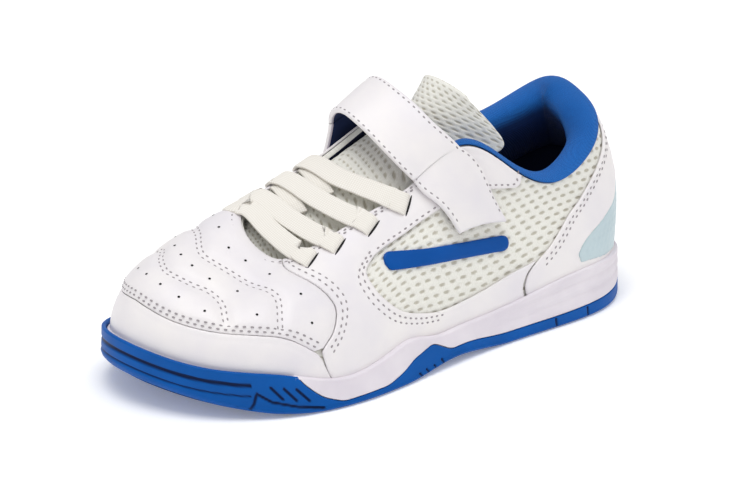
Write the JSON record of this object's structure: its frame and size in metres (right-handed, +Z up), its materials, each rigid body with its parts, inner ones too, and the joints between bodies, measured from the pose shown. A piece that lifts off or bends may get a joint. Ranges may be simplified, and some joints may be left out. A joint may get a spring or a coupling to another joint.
{
  "type": "indoor soccer shoe",
  "caption": "Low child's indoor soccer shoe for the left foot: mesh upper with smooth overlays, padded collar, elastic laces, instep strap and a flat cupped rubber sole.",
  "frame": {"origin": "on the floor, under the centre of the shoe's bounding box", "axes": "+X to the toe, +Y to the outer side of the foot, +Z up"},
  "size_m": [0.2144, 0.0924, 0.0948],
  "materials": {
    "outsole_rubber": "blue moulded rubber, satin",
    "midsole_foam": "white moulded foam, satin",
    "insole_fabric": "dark blue brushed fabric",
    "mesh_fabric": "off-white open mesh",
    "smooth_synthetic": "white grained synthetic, satin",
    "heel_film": "pale blue pressed film",
    "collar_fabric": "blue woven lining",
    "lace_webbing": "white flat elastic"
  },
  "bodies": {
    "root": {"outsole": "outsole_rubber", "midsole": "midsole_foam", "insole": "insole_fabric", "upper": "mesh_fabric", "toe_cap": "smooth_synthetic", "vamp": "smooth_synthetic", "quarter_lateral": "smooth_synthetic", "quarter_medial": "smooth_synthetic", "heel_counter": "smooth_synthetic", "heel_panel": "heel_film", "collar": "collar_fabric", "tongue": "mesh_fabric", "lace_bar": "lace_webbing", "lace_cross_1": "lace_webbing", "lace_cross_2": "lace_webbing", "lace_cross_3": "lace_webbing", "strap": "smooth_synthetic"}
  },
  "joints": []
}
